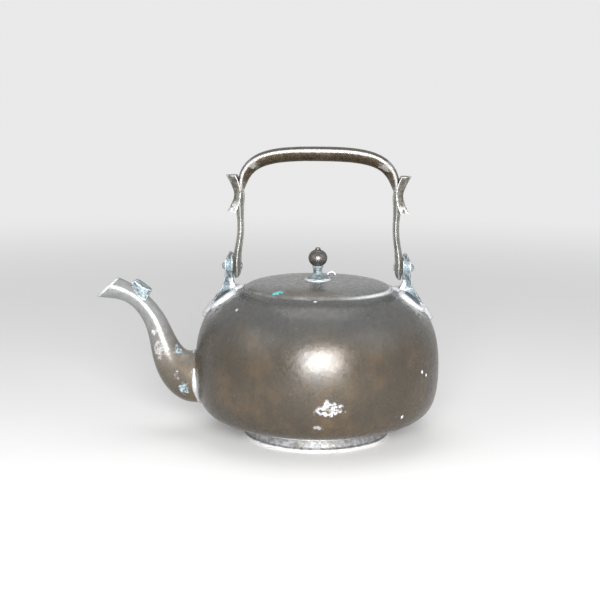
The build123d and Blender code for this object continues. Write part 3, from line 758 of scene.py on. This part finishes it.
def mix_finishes(colours):
    """Makes every finish of the kettle."""
    white, tin = tuple(colours.lime), tuple(colours.solder)
    slate, bronze, verdigris = colours.slate, colours.bronze, colours.verdigris
    lid_spots = [
        spot((-8.0, -44.0, 116.0), 26.0, shade(bronze, 1.15), dull=False, stretch=(0.6, 1.2, 1),
             firmness=0.7, strength=0.7),
        spot((-27.1, -42.5, 114.5), 5.5, (0.10, 0.40, 0.40), stretch=(0.7, 1.3, 1)),
    ]
    spout_spots = [
        spot((-98.5, -14, 38.0), 9.0, shade(verdigris, 1.2), lace=1.4),
        spot((-104.0, -13, 47.0), 8.0, shade(white, 0.7), lace=1.6),
        spot((-121.7, -7, 78.1), 5.0, shade(white, 0.8), lace=1.2),
        spot((-117.3, -8, 65.1), 9.0, shade(white, 0.6), lace=1.2, stretch=(1, 1, 0.6)),
        spot((-103.0, -8, 66.0), 8.0, shade(verdigris, 1.1), lace=1.2),
    ]
    # a verdigris dab, and pale grey spots at the grip's two bends, which are painted highlights
    grip_verdigris_and_glints = [spot((31.7, -9.0, 206.1), 3.4, (0.12, 0.34, 0.34))] + [
        spot((x, -6.0, z), 9.0, (0.30, 0.30, 0.29), ragged=0.7, stretch=(0.6, 1, 1.4),
             strength=0.6) for x, z in ((-50.0, 205.0), (51.0, 204.0))]
    lug_spots = [spot((side * 63.0, front * 6.5, 114.5), 8.5, tin, ragged=0.35,
                      stretch=(1, 1, 0.75)) for side, front in CORNERS]
    sheet_finish("vessel", colours, 74, 104, vessel_spots(bronze, white, tin), tone=0.7,
                 edge=(57.4, 56.0))
    # lid: its cool grey, lightened by pale, is a painted sheen
    sheet_finish("lid", colours, 70, 110, lid_spots, streaks=0.1, pale=1.7, edge=(53.2, 54.6))
    # spout: grey patina, paler upwards as a painted highlight
    sheet_finish("spout", colours, 34, 96, spout_spots, streaks=0.15, tone=1.2, pale=2.3)
    # hollow sets the painted shade in each casting's hollows, and rub its worn ridges with their
    # painted highlight
    cast_finish("lug", shade(slate, 0.7), (0.105, 0.130, 0.145), shade(tin, 0.7), bloom=verdigris,
                bloom_share=0.35, spots=lug_spots, hollow_shade=0.6)
    cast_finish("leaf", tuple(bronze), (0.115, 0.110, 0.090), (0.58, 0.60, 0.60),
                bloom=(0.20, 0.22, 0.21), bloom_share=0.4, hollow_shade=0.7,
                tinned=((0.46, 0.47, 0.46), 171.0, 180.0))
    cast_finish("bail", shade(bronze, 0.5), shade(bronze, 1.3), (0.55, 0.53, 0.52),
                rough=(0.24, 0.42), spots=grip_verdigris_and_glints)
    cast_finish("stem", shade(slate, 0.8), (0.16, 0.19, 0.20), (0.62, 0.67, 0.69),
                bloom=(0.27, 0.35, 0.38), bloom_share=0.7, hollow_shade=0.8)
    cast_finish("leg", (0.070, 0.072, 0.074), (0.200, 0.190, 0.165), (0.46, 0.47, 0.47),
                rough=(0.24, 0.42), hollow_shade=0.7, rub_and_highlight=0.75)
    cast_finish("ball", tuple(bronze), (0.085, 0.080, 0.077), (0.22, 0.22, 0.22),
                rough=(0.16, 0.30), metallic=0.75, hollow_shade=0.3, rub_and_highlight=0.35)
    cast_finish("foot", shade(bronze, 1.6), (0.23, 0.23, 0.23), (0.78, 0.78, 0.78),
                bloom=(0.40, 0.43, 0.46), bloom_share=0.6)
    cast_finish("rivet", shade(slate, 1.2), shade(verdigris, 0.9), (0.65, 0.68, 0.70))
    solder_finish(colours)


def coat_node(name, finish):
    """Gives one of the frame's own solids a finish."""
    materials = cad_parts[name].data.materials
    materials.clear()
    materials.append(finish)


# ------------ pieces
SIDES = (("right", 1), ("left", -1))


class Step:
    """One step of the dressing, as an operator."""

    def execute(self, context):
        self.make(context.scene.kettle_sizes)
        return {"FINISHED"}


class KETTLE_OT_body(Step, bpy.types.Operator):
    """Raise the vessel, its foot and their seam"""

    bl_idname = "kettle.body"
    bl_label = "Body and Foot"

    def make(self, _):
        outside, inside = vessel_profile(0, OUTER_ROWS), vessel_profile(SHEET, INNER_ROWS)
        rim = [(MOUTH_RADIUS - RIM_IN, SHOULDER_HEIGHT - RIM_DROP)]
        vessel = self.open_spout_hole(
            turned("vessel_skin", outside + rim + inside[::-1], "vessel", 4.0))
        finish_piece(vessel, "kettle", "vessel_bronze", "body_shell", "shoulder_shell")
        foot = casting("foot_band", "foot_ring", "kettle", "foot_bronze", "foot", 3.0,
                       voxel=0.5, lump=1.1, lump_width=14)
        points = points_of(foot)
        points[:, 2] = np.maximum(points[:, 2], 0.0)
        move_points(foot, points)
        coat_node("mouth_collar", FINISH["vessel"])
        ring = [(FOOT_SEAM_RADIUS * math.cos(a), FOOT_SEAM_RADIUS * math.sin(a),
                 FOOT_SEAM_HEIGHT) for a in turn_steps(300)]
        bead("foot_bead", ring, "kettle", "foot_bronze", "foot", 17.0, FOOT_SEAM_BEAD * MM,
             "foot_seam", flow=0.2, pit=0.15)

    def open_spout_hole(self, vessel):
        """Cuts the round hole behind the spout's root."""
        edit = bmesh.new()
        bmesh.ops.create_cone(
            edit, cap_ends=True, segments=64, radius1=SPOUT_HOLE * MM, radius2=SPOUT_HOLE * MM,
            depth=BELLY_RADIUS * MM,
            matrix=Matrix.Translation((-BELLY_RADIUS * MM, 0, SPOUT_ROOT_HEIGHT * MM))
            @ Matrix.Rotation(math.pi / 2, 4, "Y"))
        drill = show_edit("drill", edit)
        cut = vessel.modifiers.new("spout_hole", "BOOLEAN")
        cut.operation, cut.object, cut.solver = "DIFFERENCE", drill, "EXACT"
        opened = settle("vessel_skin", vessel)
        bpy.data.objects.remove(drill)
        return opened


class KETTLE_OT_lid(Step, bpy.types.Operator):
    """Form the lid with its crease"""

    bl_idname = "kettle.lid"
    bl_label = "Lid"

    def make(self, _):
        level, turn = LID_LEVEL * LID_RADIUS, LID_TURN * LID_RADIUS
        top = bezier([(0, LID_CROWN), (level, LID_CROWN), (turn, LID_CROWN),
                      (LID_RADIUS, SHOULDER_HEIGHT)], LID_ROWS)
        under = [(radius, height - SHEET) for radius, height in top[::4]] + [
            (LID_RADIUS, SHOULDER_HEIGHT - SHEET)]
        edge = [(LID_RADIUS, SHOULDER_HEIGHT - 0.5 * SHEET)]
        lid = turned("lid_disc", top + edge + under[::-1], "lid", 9.0, dent=0.8)
        self.crease(lid)
        finish_piece(lid, "lid", "lid_bronze", "lid_plate")
        coat_node("lid_flange", FINISH["lid"])

    def crease(self, lid):
        """Presses a short slanting crease into the lid's front left."""
        points = points_of(lid)
        run = CREASE_TO - CREASE_FROM
        off = points[:, :2] - CREASE_FROM
        along = np.clip((off @ run) / (run ** 2).sum(), 0, 1)
        gap = np.linalg.norm(off - along[:, None] * run, axis=1)
        fade = np.sin(np.pi * np.clip(along, 0.02, 0.98))
        depth = CREASE_DEPTH * np.exp(-(gap / CREASE_WIDTH) ** 2) * fade
        points[:, 2] -= depth
        move_points(lid, points)


class KETTLE_OT_knob(Step, bpy.types.Operator):
    """Cast the knob: lobed foot, stem, ball and rivet"""

    bl_idname = "kettle.knob"
    bl_label = "Knob and Staple"

    def make(self, _):
        casting("knob_shaft", "knob_stem", "lid", "cast_bronze", "stem", 5.0, voxel=0.22,
                lump=0.6, lump_width=5, carve=self.lobes)
        casting("knob_head", "knob_ball", "lid", "bail_bronze", "ball", 6.0, voxel=0.25,
                lump=0.5, lump_width=7, pit=0.2, wear_and_shade_spread=12)
        ring = [(KNOB_SEAM_RADIUS * math.cos(a) * (1 + 0.02 * math.sin(3 * a)),
                 KNOB_SEAM_RADIUS * math.sin(a) * (1 + 0.03 * math.cos(4 * a)),
                 LID_CROWN + 0.1) for a in turn_steps(72)]
        bead("knob_solder", ring, "lid", "solder", "solder", 2.0, KNOB_SEAM_BEAD * MM,
             "knob_seam", flow=0.35)
        coat_node("knob_burr", FINISH["rivet"])
        casting("staple_wire", "chain_staple", "lid", "rivet_bronze", "rivet", 19.0, voxel=0.16,
                lump=0.3, lump_width=3, pit=0.3)

    def lobes(self, points, _):
        """Draws the stem's foot out into rounded lobes."""
        angle = np.arctan2(points[:, 1], points[:, 0])
        radius = np.hypot(points[:, 0], points[:, 1])
        low = np.clip((LID_CROWN + LOBE_TOP - points[:, 2]) / LOBE_FADE, 0, 1) ** 2
        draw = LOBE_SWELL * np.cos(LOBES * angle + LOBE_TURN) - LOBE_TRIM
        swell = 1 + low * draw * np.clip(radius / LOBE_RADIUS, 0, 1)
        points[:, :2] *= swell[:, None]
        return points


class KETTLE_OT_spout(Step, bpy.types.Operator):
    """Form the spout with its rolled lip, its leaf and the solder at its root"""

    bl_idname = "kettle.spout"
    bl_label = "Spout"

    def make(self, sizes):
        source = solid_copy("spout_copy", "spout_tube")
        lip = self.lip_path(source)
        spout = grow("spout_swan_neck", source, "worn_casting",
                     dent_depth=0.5 * sizes.sheet_dent, dent_width=16 * MM,
                     pit_depth=0.05 * MM, pit_width=3 * MM, seed=12.0,
                     material=FINISH["spout"])
        finish_piece(spout, "kettle", "spout_bronze", "spout_tube")
        bead("spout_rim", lip, "kettle", "spout_bronze", "rivet", 8.0, sizes.rim_bead, flow=0.1,
             pit=0.08)
        root = [self.root_place(angle) for angle in turn_steps(96)]
        bead("spout_solder", root, "kettle", "solder", "solder", 15.0, SPOUT_SEAM_BEAD * MM,
             "spout_seam", flow=0.35)
        casting("spout_leaf", "spout_crest_leaf", "kettle", "cast_bronze", "stem", 7.0,
                voxel=0.3, lump=1.5, lump_width=4)

    def root_place(self, angle):
        """Where the spout's root meets the vessel, at an angle round it."""
        radius = SPOUT_ROOT_RADIUS + SPOUT_SEAM_OUT
        y, z = radius * math.cos(angle), SPOUT_ROOT_HEIGHT + radius * math.sin(angle)
        radii, heights = np.array(vessel_profile(0, MEASURE_ROWS)[2 * BOTTOM_ROWS:]).T
        belly = float(np.interp(z, heights, radii))
        return (-math.sqrt(belly ** 2 - y ** 2) - SPOUT_SEAM_PROUD, y, z)

    def lip_path(self, spout):
        """The middle of the spout's cut edge, in order round it."""
        points = points_of(spout)
        lean = math.radians(LIP_LEAN)
        across = np.array((-math.sin(lean), 0, math.cos(lean)))
        origin = np.array((-BELLY_RADIUS - LIP_OUT, 0, LIP_HEIGHT))
        edge = points[np.abs((points - origin) @ across) < LIP_FLAT]
        middle = edge.mean(0)
        off = edge - middle
        side = np.array((0, 1, 0))
        other = np.cross(across, side)
        angle, reach = np.arctan2(off @ other, off @ side), np.linalg.norm(off, axis=1)
        path = []
        for step in turn_steps(LIP_STEPS, -math.pi):
            near = np.abs((angle - step + math.pi) % (2 * math.pi) - math.pi) < LIP_REACH
            out = reach[near].max() - LIP_INSET
            path.append(middle + out * (math.cos(step) * side + math.sin(step) * other))
        return path


class KETTLE_OT_lugs(Step, bpy.types.Operator):
    """Cast the two lugs, their pins and the solder round their feet"""

    bl_idname = "kettle.lugs"
    bl_label = "Lugs and Pins"

    def make(self, sizes):
        for side, sign in SIDES:
            casting(f"lug_casting_{side}", f"lug_{side}", "kettle", "cast_bronze", "lug",
                    20.0 + sign, voxel=0.32, lump=1.1, lump_width=6, carve=self.ridges)
            path = [(sign * x, y, z) for x, y, z in self.foot_outline()]
            bead(f"lug_solder_{side}", path, "kettle", "solder", "solder", 30.0 + sign,
                 sizes.solder_bead, f"lug_seam_{side}")
            casting(f"pin_{side}", f"pivot_pin_{side}", "kettle", "rivet_bronze", "rivet",
                    25.0 + sign, voxel=0.18, smooth=2, lump=0.4, lump_width=3, pit=0.4)

    def ridges(self, points, normals):
        """Files shallow grooves up the blade and its foot."""
        fan = points[:, 1] * (1 + BLADE_FAN * (points[:, 2] - SHOULDER_HEIGHT))
        groove = BLADE_GROOVE * np.cos(2 * math.pi * fan / BLADE_PITCH)
        rise = groove * np.clip(np.abs(normals[:, 0]), 0, 1) - BLADE_THINNED
        return points + normals * rise[:, None]

    def foot_outline(self):
        """The trefoil outline of a lug's foot, laid on the shoulder."""
        centre = np.array((PAD_LOBE_X, 0.0))
        outline = []
        chord = PAD_TIP - PAD_INNER
        bow = (chord ** 2 / 4 + PAD_TIP_HALF ** 2) / (2 * PAD_TIP_HALF)
        for angle in turn_steps(PAD_RAYS):
            ray = np.array((math.cos(angle), math.sin(angle)))
            reach = 0.0
            for out in PAD_REACHES:
                x, y = centre + out * ray
                lobes = math.hypot(x - PAD_LOBE_X, abs(y) - PAD_LOBE_Y)
                leaf = math.hypot(x - (PAD_INNER + PAD_TIP) / 2,
                                  abs(y) + bow - PAD_TIP_HALF)
                if lobes < PAD_LOBE_RADIUS or leaf < bow:
                    reach = out
            x, y = centre + (reach + PAD_SEAM_OUT) * ray
            outline.append((x, y, shoulder_level(math.hypot(x, y)) + PAD_SEAM_PROUD))
        return outline


class KETTLE_OT_bail(Step, bpy.types.Operator):
    """Forge the bail: grip, legs and leaf collars"""

    bl_idname = "kettle.bail"
    bl_label = "Bail"

    def make(self, _):
        casting("grip_casting", "bail_grip", "bail", "bail_bronze", "bail", 40.0, voxel=0.5,
                lump=0.9, lump_width=16, pit=0.4, wear_and_shade_spread=8)
        for side, sign in SIDES:
            casting(f"leg_casting_{side}", f"bail_leg_{side}", "bail", "bail_bronze", "leg",
                    50.0 + sign, voxel=0.3, smooth=2, lump=0.5, lump_width=9, pit=0.2,
                    carve=self.groove, wear_and_shade_spread=12)
            casting(f"collar_casting_{side}", f"leaf_collar_{side}", "bail", "cast_bronze",
                    "leaf", 60.0 + sign, voxel=0.3, lump=0.9, lump_width=6, carve=self.flutes)

    def groove(self, points, normals):
        """Files a shallow groove down the front and the back of a leg."""
        height = points[:, 2]
        levels = np.arange(height.min(), height.max(), LEG_STEP)
        middle = [np.abs(points[np.abs(height - level) < LEG_STEP / 2, 0]).mean()
                  for level in levels]
        off = np.abs(points[:, 0]) - np.interp(height, levels, middle)
        facing = np.clip(np.abs(normals[:, 1]) - FACING_FROM, 0, 1) * FACING_GAIN
        depth = LEG_GROOVE * np.exp(-((off - LEG_GROOVE_OFF) / LEG_GROOVE_WIDTH) ** 2) * facing
        return points - normals * depth[:, None]

    def flutes(self, points, normals):
        """Draws a collar's waist in and flutes its outer face like a leaf."""
        middle = 0.5 * (points[:, 2].min() + points[:, 2].max()) - WAIST_DROP
        waist = np.exp(-((points[:, 2] - middle) / WAIST_SPAN) ** 2)
        side = np.sign(points[:, 0])
        out = np.abs(points[:, 0]) - np.abs(points[:, 0]).min()
        outer = np.clip((out - OUTER_FROM) / OUTER_SPAN, 0, 1)
        points[:, 0] -= side * WAIST_DEPTH * waist * outer
        points[:, 1] *= 1 - WAIST_PINCH * waist
        flute = FLUTE_DEPTH * np.cos(2 * math.pi * points[:, 1] / FLUTE_PITCH)
        facing = np.clip(side * normals[:, 0], 0, 1)
        return points + normals * (flute * facing)[:, None]


class KETTLE_OT_stage(Step, bpy.types.Operator):
    """Set the floor, the lamps and the camera"""

    bl_idname = "kettle.stage"
    bl_label = "Stage"

    def make(self, _):
        scene = bpy.context.scene
        scene.view_settings.view_transform = "Standard"
        self.floor()
        self.world(scene)
        for lamp in LAMPS:
            self.lamp(*lamp)
        self.camera(scene)

    def floor(self):
        edit = bmesh.new()
        bmesh.ops.create_circle(edit, cap_ends=True, segments=96, radius=FLOOR_RADIUS)
        floor = show_edit("floor", edit)
        paint = bpy.data.materials.new("pale_floor")
        paint.use_nodes = True
        tree = paint.node_tree
        shader = tree.nodes["Principled BSDF"]
        shader.inputs["Base Color"].default_value = (*FLOOR_TONE, 1)
        shader.inputs["Roughness"].default_value = FLOOR_ROUGH
        haze = add_node(tree, "ShaderNodeEmission", {"Strength": BACKDROP_LEVEL})
        coords = add_node(tree, "ShaderNodeTexCoord").outputs["Object"]
        away = vector(tree, "LENGTH", coords, output="Value")
        far = add_node(tree, "ShaderNodeMapRange",
                       {"Value": away, "From Min": FLOOR_FADE[0], "From Max": FLOOR_FADE[1]},
                       interpolation_type="SMOOTHSTEP")
        share = calc(tree, "MULTIPLY", far.outputs[0], self.seen_directly(tree))
        blend = add_node(tree, "ShaderNodeMixShader",
                         {0: share, 1: shader.outputs[0], 2: haze.outputs[0]})
        tree.links.new(blend.outputs[0], tree.nodes["Material Output"].inputs[0])
        floor.data.materials.append(paint)

    def seen_directly(self, tree):
        """1 for what the camera, a gloss or a glass sees, and 0 for the light on a surface."""
        path = add_node(tree, "ShaderNodeLightPath").outputs
        seen = calc(tree, "MAXIMUM", path["Is Camera Ray"], path["Is Glossy Ray"])
        return calc(tree, "MAXIMUM", seen, path["Is Transmission Ray"])

    def world(self, scene):
        sky = bpy.data.worlds.new("studio")
        sky.use_nodes = True
        tree = sky.node_tree
        ground = tree.nodes["Background"]
        level = add_node(tree, "ShaderNodeMapRange",
                         {"Value": self.seen_directly(tree), "To Min": ROOM_LEVEL,
                          "To Max": BACKDROP_LEVEL})
        ground.inputs["Color"].default_value = (1, 1, 1, 1)
        tree.links.new(level.outputs[0], ground.inputs["Strength"])
        scene.world = sky

    def lamp(self, name, place, aim, size, power):
        light = bpy.data.lights.new(name, "AREA")
        light.shape, light.energy = "RECTANGLE", power
        light.size, light.size_y = size
        made = show(name, light)
        made.location = place
        made.rotation_euler = (Vector(aim) - Vector(place)).to_track_quat("-Z", "Y").to_euler()

    def camera(self, scene):
        lens = bpy.data.cameras.new("camera")
        lens.lens, lens.sensor_width = CAMERA_LENS, CAMERA_SENSOR
        camera = show("camera", lens)
        camera.location = CAMERA_PLACE
        camera.rotation_euler = [math.radians(turn) for turn in CAMERA_TURN]
        scene.camera = camera


PIECES = ("body", "lid", "knob", "spout", "lugs", "bail", "stage")


class KETTLE_PT_panel(bpy.types.Panel):
    """The kettle's sizes, colours and steps."""

    bl_idname = "KETTLE_PT_panel"
    bl_label = "Kettle"
    bl_space_type = "VIEW_3D"
    bl_region_type = "UI"
    bl_category = "Kettle"

    def draw(self, context):
        for group in (context.scene.kettle_sizes, context.scene.kettle_colours):
            for name in group.__annotations__:
                self.layout.prop(group, name)
        for piece in PIECES:
            self.layout.operator(f"kettle.{piece}")


CLASSES = (
    KettleSizes, KettleColours, KETTLE_OT_body, KETTLE_OT_lid, KETTLE_OT_knob, KETTLE_OT_spout,
    KETTLE_OT_lugs, KETTLE_OT_bail, KETTLE_OT_stage, KETTLE_PT_panel,
)


def register():
    for kind in CLASSES:
        bpy.utils.register_class(kind)
    bpy.types.Scene.kettle_sizes = PointerProperty(type=KettleSizes)
    bpy.types.Scene.kettle_colours = PointerProperty(type=KettleColours)


def unregister():
    del bpy.types.Scene.kettle_colours
    del bpy.types.Scene.kettle_sizes
    for kind in reversed(CLASSES):
        bpy.utils.unregister_class(kind)


def main():
    """Dresses the kettle, piece by piece."""
    register()
    TREES["turned_sheet"] = turned_sheet_tree()
    TREES["worn_casting"] = worn_casting_tree()
    TREES["bead_run"] = bead_run_tree()
    mix_finishes(bpy.context.scene.kettle_colours)
    for piece in PIECES:
        getattr(bpy.ops.kettle, piece)()


if __name__ == "__main__":
    main()
